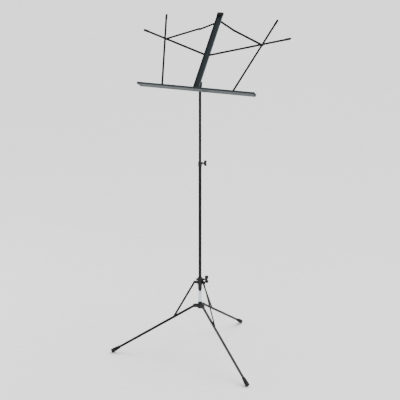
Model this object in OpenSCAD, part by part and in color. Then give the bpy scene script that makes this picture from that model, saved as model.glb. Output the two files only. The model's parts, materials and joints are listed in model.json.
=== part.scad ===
// Folding music stand: a wire-strip desk on a telescopic mast with a folding tripod.
// +Z up, the player stands on the -Y side, the floor is z = 0 and the origin is under the
// middle of the stand's footprint.

/* [Tripod] */
// Length of a leg, from its pivot to the end of its foot
leg_len = 392; // [320:1:460]
// Slope of an open leg below the horizontal
leg_angle = 30.6; // [24:0.2:38]
// Height of a leg's channel section
leg_h = 8.4; // [7:0.1:10]
// Width of a leg's channel section
leg_w = 6.4; // [5.6:0.1:8]
// Sheet thickness of a leg
leg_wall = 1; // [0.8:0.1:1.4]
// Distance of the leg pivots from the mast's axis
pivot_r = 22; // [21:0.5:30]
// Distance from a leg's pivot to the joint of its brace
brace_at = 99; // [70:1:120]
// Height of the brace pivots above the leg pivots
slider_rise = 102; // [95:1:125]
// Width of the tripod's braces
brace_w = 8; // [6.6:0.1:9]
// Thickness of the tripod's braces
brace_t = 1.8; // [1.4:0.1:2.4]
// Length of a rubber foot
boot_len = 38; // [28:1:50]
// Radius of a rubber foot at its wide end
boot_r = 8.5; // [7.5:0.1:10]

/* [Mast] */
// Outside radius of the lower tube
lower_r = 6; // [5.6:0.1:6.4]
// Wall of the lower tube
lower_wall = 0.6; // [0.4:0.05:0.7]
// Length of the lower tube
lower_len = 590; // [480:1:700]
// Outside radius of the upper tube
upper_r = 5.1; // [4.6:0.1:5.2]
// Wall of the upper tube
upper_wall = 0.8; // [0.5:0.1:1.2]
// Length of the upper tube
upper_len = 560; // [450:1:640]
// Length of the upper tube that shows above the clamp
upper_out = 300; // [200:1:390]
// Outside radius of the bright sleeve on the lower tube
sleeve_r = 7; // [6.6:0.1:7.6]
// Length of the bright sleeve
sleeve_len = 46; // [20:1:46]

/* [Desk] */
// Length of the desk's spine
spine_len = 328; // [300:1:400]
// Width of the spine
spine_w = 24; // [24:0.5:28]
// Depth of the spine's side flanges
spine_h = 6; // [4:0.5:9]
// Sheet thickness of the spine
spine_t = 1.2; // [0.8:0.1:1.6]
// Length of half the ledge
ledge_half = 250; // [220:1:290]
// Depth of the ledge in front of the spine's web
ledge_depth = 18; // [14:0.5:30]
// Height of the ledge's front lip
lip_h = 6; // [4:0.5:10]
// Lean of the desk back from upright
desk_lean = 36; // [20:1:50]
// Height of the arm pivots above the ledge pivots
arm_rise = 145; // [144:1:165]
// Slope of an open arm
arm_angle = 16.4; // [12:0.2:22]
// Length of an arm
arm_len = 320; // [280:1:350]
// Distance from a ledge pivot to the joint of its side rod
rod_at = 144.6; // [130:0.2:150]
// Length of a side rod
rod_len = 320; // [280:1:350]
// Height of the stays' pivot above the ledge pivots
stay_rise = 299; // [290:1:310]
// Length of an inner stay between pivots
inner_stay = 86.8; // [84:0.2:92]
// Width of the desk's strips
strip_w = 8; // [6.6:0.1:8.6]
// Thickness of the desk's strips
strip_t = 1.6; // [1.2:0.1:1.8]

/* [Joints] */
// Radius of the rivets' shanks
rivet_r = 2; // [1.5:0.1:2.2]
// Radius of the rivets' heads
head_r = 3.4; // [2.8:0.1:3.6]
// Thickness of the rivets' heads
head_t = 1.1; // [0.8:0.1:1.2]
// Radial clearance of a shank or tube in its bore
fit = 0.05; // [0.02:0.01:0.09]
// Gap between faces that move past each other
gap = 0.4; // [0.35:0.01:0.45]

/* [Hidden] */
$fn = 48;

black = "#17181a";
graphite = "#3c4548";
bright = "#c9d2d6";
// how far cutting shapes run past the faces they cut, and joined shapes into each other
over = 1;
eps = 0.01;

// directions of the legs, and of the screws that stand between two legs
rear_dir = 90;
left_dir = 210;
right_dir = 330;
screw_dir = 30;

// the tripod's heights and lengths
foot_sink = 0.9;
channel_short = 8;
boot_band = 6;
boot_wall = 1;
leg_end_r = pivot_r + leg_len*cos(leg_angle);
hub_z = leg_len*sin(leg_angle) + boot_r*cos(leg_angle) - foot_sink;
slider_z = hub_z + slider_rise;
brace_dr = brace_at*cos(leg_angle);
brace_dz = slider_rise + brace_at*sin(leg_angle);
brace_len = norm([brace_dr, brace_dz]);
brace_slope = atan2(brace_dz, brace_dr);
bore_r = rivet_r + fit;

// the mast stands forward of the origin, which is under the middle of the footprint
reach_back = leg_end_r + boot_r*sin(leg_angle);
reach_front = leg_end_r*sin(30) + boot_r*norm([cos(30), sin(leg_angle)*sin(30)]);
mast_y = (reach_front - reach_back)/2;

// hub and slider
hub_r = 10.5;
hub_below = 11;
hub_above = 7;
hub_floor = 3;
hub_neck_r = 8;
hub_neck = 17;
hub_edge = 2;
ear_r = 6;
ear_t = 2.4;
ear_in = leg_w/2 + gap;
brace_in = leg_w/2 + gap;
lug_in = brace_in + brace_t + gap;
lug_t = 2.5;
lug_r = 5.6;
collar_r = 10.5;
collar_up = 17;
collar_down = 12;
collar_edge = 2;
neck_r = 8;
neck_len = 20;
slide_fit = fit + 0.01;
sleeve_z = hub_z + hub_neck + 1;
slider_screw_z = slider_z + 9;
tail_len = 5.5;
lug_root = 5;

// mast
tube_z = hub_z - hub_below + hub_floor;
tube_top = tube_z + lower_len;
clamp_r = 7.8;
clamp_down = 8;
clamp_up = 10;
clamp_edge = 1.5;
upper_top = tube_top + upper_out;
upper_z = upper_top - upper_len;
bush_len = 30;
bush_lip = 2;
bush_wall = 1.4;
clamp_screw_z = tube_top + 4.6;

// screws with flat wings
screw_r = 2.5;
boss_r = 4.4;
boss_len = 7;
clamp_boss = 4;
screw_collar = 1.4;
screw_collar_len = 4;
wing_t = 2.4;
wing_r = 5;
wing_gap = 3.5;
wing_root = 8.5;
small_wing = 6.5;
large_wing = 11;
thumb_r = 6;
thumb_len = 6;

// desk head
socket_r = 6.6;
socket_below = 19;
socket_cap = 5;
socket_boss = 3;
socket_screw_z = upper_top - socket_below/2;
tilt_z = upper_top + 15;
tongue_t = 5;
fork_t = 3.3;
fork_r = 6;
bolt_r = 2.5;
bolt_head_r = 4.2;
bolt_head_t = 2.4;
knob_r = 7.5;
knob_len = 10.5;
knob_flutes = 12;
knob_step = 2.5;
flute_r = 1.4;

// share of a rivet head's radius that is left flat on top
head_top = 0.6;

// the desk's own frame: x along the ledge, y up the spine, z out of its face
tilt_v = 32;
tilt_w = -14.8;
desk_y = -(tilt_v*sin(desk_lean) - tilt_w*cos(desk_lean));
desk_z = tilt_z - (tilt_v*cos(desk_lean) + tilt_w*sin(desk_lean));
pivot_u = 7.2;
pitch = strip_t + gap;
arm_w = -spine_t - gap;
rod_w = arm_w - pitch;
flange_w = rod_w - pitch;
outer_w = flange_w - pitch;
right_inner_w = outer_w - pitch;
left_inner_w = right_inner_w - pitch;
spine_v = -4;
spine_top = spine_v + spine_len;
ledge_t = 1.4;
bore_half = 5;
ledge_v = -7;
flange_up = 4;
ledge_u = 0.6;
cap_t = 3;
cap_grow = 0.8;
end_cap_wall = 1.3;
end_cap_depth = 9;
end_cap_over = 4;
bracket_t = 1.8;
bracket_half = 18;
bracket_pitch = 12;
small_rivet_r = 1.5;
small_head_r = 2.8;
small_head_t = 0.9;
tip_len = 12;
tip_side = 1.2;
tip_over = 3;

// where the desk's strips cross: the strips fold flat against the spine
joint_at = rod_at*arm_rise/(arm_rise*(1 - sin(arm_angle)) - rod_at*(1 - cos(arm_angle)));
cross_u = pivot_u + joint_at*cos(arm_angle);
cross_v = arm_rise + joint_at*sin(arm_angle);
rod_u = pivot_u + rod_at;
rod_slope = atan2(cross_v, cross_u - rod_u);
stay_span = norm([cross_u, cross_v - stay_rise]);
stay_drop = atan2(stay_rise - cross_v, cross_u);
stay_spare = 0.25;
outer_stay = stay_span + stay_spare - inner_stay;
inner_bend = acos((pow(inner_stay, 2) + pow(stay_span, 2) - pow(outer_stay, 2))/(2*inner_stay*stay_span));
inner_slope = -stay_drop - inner_bend;
elbow_u = inner_stay*cos(inner_slope);
elbow_v = stay_rise + inner_stay*sin(inner_slope);
outer_slope = atan2(cross_v - elbow_v, cross_u - elbow_u);

// ---- frames ----
module mast_frame() {
    translate([0, mast_y, 0]) children();
}

module leg_frame(dir) {
    mast_frame() rotate([0, 0, dir]) translate([pivot_r, 0, hub_z]) rotate([0, leg_angle, 0]) children();
}

module brace_frame(dir) {
    mast_frame() rotate([0, 0, dir]) translate([pivot_r, 0, slider_z]) rotate([0, brace_slope, 0]) children();
}

module desk_frame() {
    mast_frame() translate([0, desk_y, desk_z]) rotate([90 - desk_lean, 0, 0]) children();
}

// ---- shared shapes ----
// a flat outline in the x-z plane, given thickness along +y from y0
module side_plate(y0, thick) {
    translate([0, y0 + thick, 0]) rotate([90, 0, 0]) linear_extrude(thick) children();
}

// a pin along y
module side_pin(x, z, y0, y1, r) {
    translate([x, y0, z]) rotate([-90, 0, 0]) cylinder(h = y1 - y0, r = r);
}

// outline of a strip with round ends, from the origin along +x
module strip_outline(length, width) {
    circle(d = width);
    translate([length, 0]) circle(d = width);
    translate([0, -width/2]) square([length, width]);
}

// outline of an ear: a round end on the pivot and a straight root towards -x
module ear_outline(r, root) {
    circle(r = r);
    translate([-root, -r]) square([root, 2*r]);
}

// a desk strip whose front face lies at w, with bores at the given distances
module desk_strip(u, v, w, slope, length, bores) {
    translate([u, v, w - strip_t]) rotate([0, 0, slope]) difference() {
        linear_extrude(strip_t) strip_outline(length, strip_w);
        for (at = bores) translate([at, 0, -over]) cylinder(h = strip_t + 2*over, r = bore_r);
    }
}

// a pin along the desk's normal between two depths
module desk_pin(u, v, w_back, w_front, r) {
    translate([u, v, w_back]) cylinder(h = w_front - w_back, r = r);
}

// a domed head that stands on the plane w, towards +z (up = 1) or -z (up = -1)
module desk_head(u, v, w, up) {
    translate([u, v, w]) mirror([0, 0, up < 0 ? 1 : 0]) {
        cylinder(h = head_t/2, r = head_r);
        translate([0, 0, head_t/2]) cylinder(h = head_t/2, r1 = head_r, r2 = head_top*head_r);
    }
}

// a thumb screw along +x whose tip is at x = 0 and whose wing starts after the shank
module wing_screw(shank, span) {
    wing_x = shank + wing_gap;
    rotate([0, 90, 0]) cylinder(h = shank + wing_gap, r = screw_r);
    translate([shank, 0, 0]) rotate([0, 90, 0]) cylinder(h = screw_collar_len, r = screw_r + screw_collar);
    side_plate(-wing_t/2, wing_t) {
        for (side = [-1, 1]) translate([wing_x + wing_r, side*span]) circle(r = wing_r);
        translate([wing_x, -span]) square([wing_root, 2*span]);
    }
}

module screw_place(z, tip) {
    mast_frame() rotate([0, 0, screw_dir]) translate([tip, 0, z]) children();
}

module left_side() {
    mirror([1, 0, 0]) children();
}

// ---- mast and hub ----
module lower_hub() {
    color(black) mast_frame() difference() {
        union() {
            translate([0, 0, hub_z - hub_below]) cylinder(h = hub_edge, r1 = hub_r - hub_edge, r2 = hub_r);
            translate([0, 0, hub_z - hub_below + hub_edge])
                cylinder(h = hub_below + hub_above - 2*hub_edge, r = hub_r);
            translate([0, 0, hub_z + hub_above - hub_edge])
                cylinder(h = hub_edge, r1 = hub_r, r2 = hub_r - hub_edge);
            translate([0, 0, hub_z]) cylinder(h = hub_neck, r = hub_neck_r);
            for (dir = [rear_dir, left_dir, right_dir]) rotate([0, 0, dir])
                for (y0 = [ear_in, -ear_in - ear_t]) translate([pivot_r, 0, hub_z])
                    side_plate(y0, ear_t) ear_outline(ear_r, pivot_r - lower_r - 1);
        }
        translate([0, 0, tube_z]) cylinder(h = lower_len, r = lower_r + fit);
        for (dir = [rear_dir, left_dir, right_dir]) rotate([0, 0, dir])
            side_pin(pivot_r, hub_z, -ear_in - ear_t - over, ear_in + ear_t + over, bore_r);
    }
}

module leg_pivot_pins() {
    reach = ear_in + ear_t;
    color(bright) mast_frame() for (dir = [rear_dir, left_dir, right_dir]) rotate([0, 0, dir]) {
        side_pin(pivot_r, hub_z, -reach - head_t, reach + head_t, rivet_r);
        side_pin(pivot_r, hub_z, -reach - head_t, -reach, head_r);
        side_pin(pivot_r, hub_z, reach, reach + head_t, head_r);
    }
}

module lower_tube() {
    color(black) mast_frame() translate([0, 0, tube_z]) difference() {
        cylinder(h = lower_len, r = lower_r);
        translate([0, 0, -over]) cylinder(h = lower_len + 2*over, r = lower_r - lower_wall);
    }
}

module bright_sleeve() {
    color(bright) mast_frame() translate([0, 0, sleeve_z]) difference() {
        cylinder(h = sleeve_len, r = sleeve_r);
        translate([0, 0, -over]) cylinder(h = sleeve_len + 2*over, r = lower_r + fit);
    }
}

// a round bore or boss along the clamp screws' direction
module clamp_axis(z, length, r) {
    translate([0, 0, z]) rotate([0, 0, screw_dir]) rotate([0, 90, 0]) cylinder(h = length, r = r);
}

module mid_clamp() {
    color(black) mast_frame() difference() {
        union() {
            translate([0, 0, tube_top - clamp_down])
                cylinder(h = clamp_down + clamp_up - clamp_edge, r = clamp_r);
            translate([0, 0, tube_top + clamp_up - clamp_edge])
                cylinder(h = clamp_edge, r1 = clamp_r, r2 = clamp_r - clamp_edge);
            clamp_axis(clamp_screw_z, clamp_r + clamp_boss, boss_r);
        }
        translate([0, 0, tube_top - clamp_down - over]) cylinder(h = clamp_down + over, r = lower_r + fit);
        translate([0, 0, tube_top - over]) cylinder(h = clamp_up + 2*over, r = upper_r + slide_fit);
        clamp_axis(clamp_screw_z, 2*lower_r + clamp_r + clamp_boss, screw_r + fit);
    }
}

module mid_clamp_screw() {
    tip = upper_r + gap;
    color(black) screw_place(clamp_screw_z, tip) wing_screw(clamp_r + clamp_boss + gap - tip, small_wing);
}

module upper_tube() {
    color(black) mast_frame() translate([0, 0, upper_z]) difference() {
        cylinder(h = upper_len, r = upper_r);
        translate([0, 0, -over]) cylinder(h = upper_len + 2*over, r = upper_r - upper_wall);
    }
}

module guide_bush() {
    lip_r = lower_r - lower_wall - fit;
    plug_r = upper_r - upper_wall;
    color(graphite) mast_frame() translate([0, 0, upper_z - bush_lip]) difference() {
        union() {
            cylinder(h = bush_lip, r = lip_r);
            translate([0, 0, bush_lip]) cylinder(h = bush_len, r = plug_r);
        }
        translate([0, 0, -over]) cylinder(h = bush_len + bush_lip + 2*over, r = plug_r - bush_wall);
    }
}

// ---- tripod ----
module leg_slider() {
    color(black) mast_frame() difference() {
        union() {
            translate([0, 0, slider_z - collar_down])
                cylinder(h = collar_down + collar_up - collar_edge, r = collar_r);
            translate([0, 0, slider_z + collar_up - collar_edge])
                cylinder(h = collar_edge, r1 = collar_r, r2 = collar_r - collar_edge);
            translate([0, 0, slider_z - collar_down - neck_len]) cylinder(h = neck_len + over, r = neck_r);
            for (dir = [rear_dir, left_dir, right_dir]) rotate([0, 0, dir])
                translate([pivot_r, 0, slider_z])
                    side_plate(lug_in, lug_t) ear_outline(lug_r, pivot_r - lug_root);
            clamp_axis(slider_screw_z, collar_r + boss_len, boss_r);
            rotate([0, 0, 180]) clamp_axis(slider_screw_z, collar_r + tail_len, screw_r + screw_collar);
        }
        translate([0, 0, slider_z - slider_rise]) cylinder(h = 2*slider_rise, r = lower_r + slide_fit);
        clamp_axis(slider_screw_z, 2*collar_r + boss_len, screw_r + fit);
        for (dir = [rear_dir, left_dir, right_dir]) rotate([0, 0, dir])
            side_pin(pivot_r, slider_z, lug_in - over, lug_in + lug_t + over, bore_r);
    }
}

module brace_pins() {
    color(bright) mast_frame() for (dir = [rear_dir, left_dir, right_dir]) rotate([0, 0, dir]) {
        side_pin(pivot_r, slider_z, brace_in, lug_in + lug_t + head_t, rivet_r);
        side_pin(pivot_r, slider_z, lug_in + lug_t, lug_in + lug_t + head_t, head_r);
    }
}

module slider_screw() {
    tip = lower_r + gap;
    color(black) screw_place(slider_screw_z, tip) wing_screw(collar_r + boss_len + gap - tip, large_wing);
}

module leg(dir) {
    channel_end = leg_len - channel_short;
    color(black) leg_frame(dir) difference() {
        side_plate(-leg_w/2, leg_w) {
            circle(d = leg_h);
            translate([0, -leg_h/2]) square([channel_end, leg_h]);
        }
        side_plate(-leg_w/2 + leg_wall, leg_w - 2*leg_wall)
            translate([-leg_h, -leg_h]) square([channel_end + 2*leg_h, 1.5*leg_h - leg_wall]);
        side_pin(0, 0, -leg_w, leg_w, bore_r);
        side_pin(brace_at, 0, -leg_w, leg_w, bore_r);
    }
}

module foot(dir) {
    mouth_r = norm([leg_w, leg_h])/2 + boot_wall;
    color("#101112") difference() {
        leg_frame(dir) difference() {
            rotate([0, 90, 0]) {
                translate([0, 0, leg_len - boot_len]) cylinder(h = boot_band, r = mouth_r);
                translate([0, 0, leg_len - boot_len + boot_band])
                    cylinder(h = boot_len - 2*boot_band, r1 = mouth_r, r2 = boot_r);
                translate([0, 0, leg_len - boot_band]) cylinder(h = boot_band, r = boot_r);
            }
            translate([0, -leg_w/2, -leg_h/2]) cube([leg_len - channel_short, leg_w, leg_h]);
        }
        translate([-2*leg_len, -2*leg_len, -boot_len]) cube([4*leg_len, 4*leg_len, boot_len]);
    }
}

module leg_rivet(dir) {
    color(bright) leg_frame(dir) {
        side_pin(brace_at, 0, -leg_w/2 - head_t, leg_w/2, rivet_r);
        side_pin(brace_at, 0, -leg_w/2 - head_t, -leg_w/2, head_r);
    }
}

module brace(dir) {
    color(black) brace_frame(dir) difference() {
        union() {
            side_plate(brace_in, brace_t) strip_outline(brace_len, brace_w);
            side_pin(brace_len, 0, brace_in + brace_t - eps, brace_in + brace_t + head_t, head_r);
        }
        side_pin(0, 0, brace_in - over, brace_in + brace_t + over, bore_r);
    }
}

// ---- desk head ----
module fork_plate(x0) {
    translate([x0, 0, tilt_z]) rotate([90, 0, 90]) linear_extrude(fork_t) {
        circle(r = fork_r);
        translate([-fork_r, upper_top + over - tilt_z]) square([2*fork_r, tilt_z - upper_top - over]);
    }
}

module desk_socket() {
    fork_in = tongue_t/2 + gap;
    color(black) mast_frame() difference() {
        union() {
            translate([0, 0, upper_top - socket_below]) cylinder(h = socket_below + socket_cap, r = socket_r);
            fork_plate(fork_in);
            fork_plate(-fork_in - fork_t);
            translate([0, 0, socket_screw_z]) rotate([0, -90, 0])
                cylinder(h = socket_r + socket_boss, r = boss_r);
        }
        translate([0, 0, upper_top - socket_below - over])
            cylinder(h = socket_below + over + gap, r = upper_r + fit);
        translate([0, 0, socket_screw_z]) rotate([0, -90, 0])
            cylinder(h = socket_r + socket_boss + over, r = screw_r + fit);
        translate([-fork_r - fork_t, 0, tilt_z]) rotate([0, 90, 0])
            cylinder(h = 2*(fork_r + fork_t), r = bolt_r + fit);
    }
}

module socket_screw() {
    tip = upper_r + gap;
    shank = socket_r + socket_boss + gap - tip;
    color(black) mast_frame() translate([-tip, 0, socket_screw_z]) rotate([0, -90, 0]) {
        cylinder(h = shank + over, r = screw_r);
        translate([0, 0, shank]) cylinder(h = thumb_len - 1, r = thumb_r);
        translate([0, 0, shank + thumb_len - 1]) cylinder(h = 1, r1 = thumb_r, r2 = thumb_r - 1);
    }
}

module tilt_bolt() {
    outer = tongue_t/2 + gap + fork_t;
    color(bright) mast_frame() translate([0, 0, tilt_z]) rotate([0, -90, 0]) {
        translate([0, 0, -outer]) cylinder(h = 2*outer + knob_len - 2, r = bolt_r);
        translate([0, 0, -outer - bolt_head_t]) cylinder(h = bolt_head_t, r = bolt_head_r, $fn = 6);
    }
}

module tilt_knob() {
    near = tongue_t/2 + gap + fork_t + gap;
    color(black) mast_frame() translate([-near, 0, tilt_z]) rotate([0, -90, 0]) difference() {
        union() {
            cylinder(h = knob_step, r = knob_r - 2);
            translate([0, 0, knob_step]) cylinder(h = knob_len - knob_step - 1, r = knob_r);
            translate([0, 0, knob_len - 1]) cylinder(h = 1, r1 = knob_r, r2 = knob_r - 1);
        }
        translate([0, 0, -over]) cylinder(h = knob_len - over/2, r = bolt_r + fit);
        for (i = [0 : knob_flutes - 1]) rotate([0, 0, i*360/knob_flutes])
            translate([knob_r + flute_r/2, 0, 2]) cylinder(h = knob_len, r = flute_r, $fn = 24);
    }
}

// ---- desk ----
module desk_spine() {
    color(graphite) desk_frame() difference() {
        translate([0, spine_v, 0]) rotate([-90, 0, 0]) linear_extrude(spine_len) {
            translate([-spine_w/2, 0]) square([spine_w, spine_t]);
            for (side = [-1, 1])
                translate([side*(spine_w - spine_t)/2 - spine_t/2, -spine_h])
                    square([spine_t, spine_h + spine_t]);
        }
        for (u = [-pivot_u, pivot_u]) {
            desk_pin(u, 0, -bore_half, bore_half, bore_r);
            desk_pin(u, arm_rise, -bore_half, bore_half, bore_r);
        }
        desk_pin(0, stay_rise, -bore_half, bore_half, bore_r);
        for (v = [tilt_v - bracket_pitch, tilt_v + bracket_pitch])
            desk_pin(0, v, -bore_half, bore_half, small_rivet_r + fit);
    }
}

module spine_cap() {
    wall = end_cap_wall;
    color(black) desk_frame() difference() {
        translate([-spine_w/2 - wall, spine_top - end_cap_depth, -spine_t])
            cube([spine_w + 2*wall, end_cap_depth + end_cap_over, spine_h + spine_t + wall]);
        translate([-spine_w/2, spine_top - end_cap_depth - over, -spine_t - over])
            cube([spine_w, end_cap_depth + over, spine_h + spine_t + over]);
    }
}

module tilt_bracket() {
    color(black) desk_frame() difference() {
        union() {
            translate([-pivot_u, tilt_v - bracket_half, -spine_t - bracket_t])
                cube([2*pivot_u, 2*bracket_half, bracket_t]);
            translate([-tongue_t/2, 0, 0]) rotate([90, 0, 90]) linear_extrude(tongue_t) {
                translate([tilt_v, tilt_w]) circle(r = fork_r);
                translate([tilt_v - fork_r, tilt_w]) square([2*fork_r, -tilt_w - spine_t - eps]);
            }
        }
        translate([-tongue_t, tilt_v, tilt_w]) rotate([0, 90, 0]) cylinder(h = 2*tongue_t, r = bolt_r + fit);
        for (v = [tilt_v - bracket_pitch, tilt_v + bracket_pitch])
            desk_pin(0, v, -bore_half, bore_half, small_rivet_r + fit);
    }
}

module bracket_rivets() {
    back = -spine_t - bracket_t;
    color(bright) desk_frame() for (v = [tilt_v - bracket_pitch, tilt_v + bracket_pitch]) {
        desk_pin(0, v, back - small_head_t, 0, small_rivet_r);
        translate([0, v, 0]) cylinder(h = small_head_t, r1 = small_head_r, r2 = small_head_r - 1);
        desk_pin(0, v, back - small_head_t, back, small_rivet_r + 0.7);
    }
}

module ledge_rivets() {
    back = flange_w - ledge_t;
    color(bright) desk_frame() for (u = [-pivot_u, pivot_u]) {
        desk_head(u, 0, 0, 1);
        desk_pin(u, 0, back - gap, eps, rivet_r);
        desk_pin(u, 0, flange_w + gap, -spine_t, head_r);
        desk_head(u, 0, back - gap, -1);
    }
}

module arm_rivets() {
    color(bright) desk_frame() for (u = [-pivot_u, pivot_u]) {
        desk_head(u, arm_rise, 0, 1);
        desk_pin(u, arm_rise, arm_w - strip_t, eps, rivet_r);
    }
}

module stay_rivet() {
    back = left_inner_w - strip_t;
    color(bright) desk_frame() {
        desk_head(0, stay_rise, 0, 1);
        desk_pin(0, stay_rise, back - gap, eps, rivet_r);
        desk_head(0, stay_rise, back - gap, -1);
    }
}

module ledge() {
    front = ledge_depth;
    difference() {
        translate([ledge_u, 0, 0]) rotate([90, 0, 90]) linear_extrude(ledge_half - ledge_u) {
            translate([ledge_v - ledge_t, flange_w - ledge_t]) square([ledge_t, front - flange_w + ledge_t]);
            translate([ledge_v - ledge_t, flange_w - ledge_t])
                square([flange_up - ledge_v + ledge_t, ledge_t]);
            translate([ledge_v - ledge_t, front - ledge_t]) square([lip_h + ledge_t, ledge_t]);
        }
        desk_pin(pivot_u, 0, flange_w - bore_half, flange_w + bore_half, bore_r);
        desk_pin(rod_u, 0, flange_w - bore_half, flange_w + bore_half, bore_r);
    }
}

// closes the trough in front of the spine, so that the folded ledge clears the spine and strips
module ledge_cap() {
    back = spine_h + 1;
    translate([ledge_half, 0, 0]) rotate([90, 0, 90]) linear_extrude(cap_t)
        translate([ledge_v - ledge_t - cap_grow, back])
            square([lip_h + ledge_t + 2*cap_grow, ledge_depth + cap_grow - back]);
}

module rod_rivet() {
    back = flange_w - ledge_t;
    desk_pin(rod_u, 0, back, rod_w, rivet_r);
    desk_head(rod_u, 0, back, -1);
}

// a soft tip of the strip's own thickness that wraps its end
module strip_tip(u, v, w, slope, length) {
    translate([u, v, w - strip_t]) rotate([0, 0, slope]) difference() {
        linear_extrude(strip_t) translate([length - tip_len, 0])
            strip_outline(tip_len + tip_over, strip_w + 2*tip_side);
        translate([0, 0, -over]) linear_extrude(strip_t + 2*over) strip_outline(length, strip_w);
    }
}

module rod() {
    desk_strip(rod_u, 0, rod_w, rod_slope, rod_len, [0]);
}

module arm() {
    desk_strip(pivot_u, arm_rise, arm_w, arm_angle, arm_len, [0, joint_at]);
}

module arm_rivet() {
    desk_head(cross_u, cross_v, arm_w, 1);
    desk_pin(cross_u, cross_v, arm_w - strip_t, arm_w + eps, rivet_r);
}

module inner_stay(w) {
    desk_strip(0, stay_rise, w, inner_slope, inner_stay, [0, inner_stay]);
}

module outer_stay() {
    desk_strip(elbow_u, elbow_v, outer_w, outer_slope, outer_stay, [0, outer_stay]);
}

module elbow_rivet(w) {
    desk_pin(elbow_u, elbow_v, w - strip_t, outer_w, rivet_r);
    desk_head(elbow_u, elbow_v, w - strip_t, -1);
    if (outer_w - strip_t - gap > w + gap) desk_pin(elbow_u, elbow_v, w, outer_w - strip_t - gap, head_r);
}

module stay_end_rivet() {
    desk_pin(cross_u, cross_v, outer_w - strip_t, outer_w, rivet_r);
    desk_pin(cross_u, cross_v, outer_w, rod_w - strip_t - gap, head_r);
    desk_head(cross_u, cross_v, outer_w - strip_t, -1);
}

// ---- nodes on one side of the desk or under one leg ----
module rear_leg() { leg(rear_dir); }
module left_leg() { leg(left_dir); }
module right_leg() { leg(right_dir); }
module rear_foot() { foot(rear_dir); }
module left_foot() { foot(left_dir); }
module right_foot() { foot(right_dir); }
module rear_leg_rivet() { leg_rivet(rear_dir); }
module left_leg_rivet() { leg_rivet(left_dir); }
module right_leg_rivet() { leg_rivet(right_dir); }
module rear_brace() { brace(rear_dir); }
module left_brace() { brace(left_dir); }
module right_brace() { brace(right_dir); }
module right_ledge() { color(graphite) desk_frame() ledge(); }
module left_ledge() { color(graphite) desk_frame() left_side() ledge(); }
module right_ledge_cap() { color(black) desk_frame() ledge_cap(); }
module left_ledge_cap() { color(black) desk_frame() left_side() ledge_cap(); }
module right_rod_rivet() { color(bright) desk_frame() rod_rivet(); }
module left_rod_rivet() { color(bright) desk_frame() left_side() rod_rivet(); }
module right_rod() { color(black) desk_frame() rod(); }
module left_rod() { color(black) desk_frame() left_side() rod(); }
module right_arm() { color(black) desk_frame() arm(); }
module left_arm() { color(black) desk_frame() left_side() arm(); }
module right_rod_tip() { color(black) desk_frame() strip_tip(rod_u, 0, rod_w, rod_slope, rod_len); }
module left_rod_tip() {
    color(black) desk_frame() left_side() strip_tip(rod_u, 0, rod_w, rod_slope, rod_len);
}
module right_arm_tip() { color(black) desk_frame() strip_tip(pivot_u, arm_rise, arm_w, arm_angle, arm_len); }
module left_arm_tip() {
    color(black) desk_frame() left_side() strip_tip(pivot_u, arm_rise, arm_w, arm_angle, arm_len);
}
module right_arm_rivet() { color(bright) desk_frame() arm_rivet(); }
module left_arm_rivet() { color(bright) desk_frame() left_side() arm_rivet(); }
module right_inner_stay() { color(black) desk_frame() inner_stay(right_inner_w); }
module left_inner_stay() { color(black) desk_frame() left_side() inner_stay(left_inner_w); }
module right_elbow_rivet() { color(bright) desk_frame() elbow_rivet(right_inner_w); }
module left_elbow_rivet() { color(bright) desk_frame() left_side() elbow_rivet(left_inner_w); }
module right_outer_stay() { color(black) desk_frame() outer_stay(); }
module left_outer_stay() { color(black) desk_frame() left_side() outer_stay(); }
module right_stay_rivet() { color(bright) desk_frame() stay_end_rivet(); }
module left_stay_rivet() { color(bright) desk_frame() left_side() stay_end_rivet(); }

lower_hub();
leg_pivot_pins();
lower_tube();
bright_sleeve();
mid_clamp();
mid_clamp_screw();
leg_slider();
brace_pins();
slider_screw();
rear_leg();
left_leg();
right_leg();
rear_foot();
left_foot();
right_foot();
rear_leg_rivet();
left_leg_rivet();
right_leg_rivet();
rear_brace();
left_brace();
right_brace();
upper_tube();
guide_bush();
desk_socket();
socket_screw();
tilt_bolt();
tilt_knob();
desk_spine();
spine_cap();
tilt_bracket();
bracket_rivets();
ledge_rivets();
arm_rivets();
stay_rivet();
left_ledge();
right_ledge();
left_ledge_cap();
right_ledge_cap();
left_rod_rivet();
right_rod_rivet();
left_rod();
right_rod();
left_rod_tip();
right_rod_tip();
left_arm();
right_arm();
left_arm_tip();
right_arm_tip();
left_arm_rivet();
right_arm_rivet();
left_inner_stay();
right_inner_stay();
left_elbow_rivet();
right_elbow_rivet();
left_outer_stay();
right_outer_stay();
left_stay_rivet();
right_stay_rivet();
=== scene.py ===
"""Looks of the folding music stand: finishes of the metalwork, moulded feet and screws, a plain studio."""

import json
import math

import bmesh
import bpy
from bpy.props import FloatProperty, FloatVectorProperty, IntProperty, PointerProperty
from mathutils import Matrix, Vector


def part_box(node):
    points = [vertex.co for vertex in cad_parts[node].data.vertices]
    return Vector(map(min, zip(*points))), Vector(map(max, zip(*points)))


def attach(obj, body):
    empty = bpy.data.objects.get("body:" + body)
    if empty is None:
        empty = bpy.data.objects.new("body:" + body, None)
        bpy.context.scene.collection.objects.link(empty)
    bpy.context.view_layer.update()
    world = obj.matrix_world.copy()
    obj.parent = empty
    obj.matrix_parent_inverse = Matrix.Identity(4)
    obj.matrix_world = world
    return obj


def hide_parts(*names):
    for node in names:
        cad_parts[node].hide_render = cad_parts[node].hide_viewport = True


bl_info = {
    "name": "Folding Music Stand",
    "version": (1, 0, 0),
    "blender": (4, 5, 0),
    "location": "View3D > Sidebar > Music Stand",
    "description": "Finishes the metalwork, feet, thumb screws and studio of a folding music stand",
    "category": "Object",
}

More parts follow.
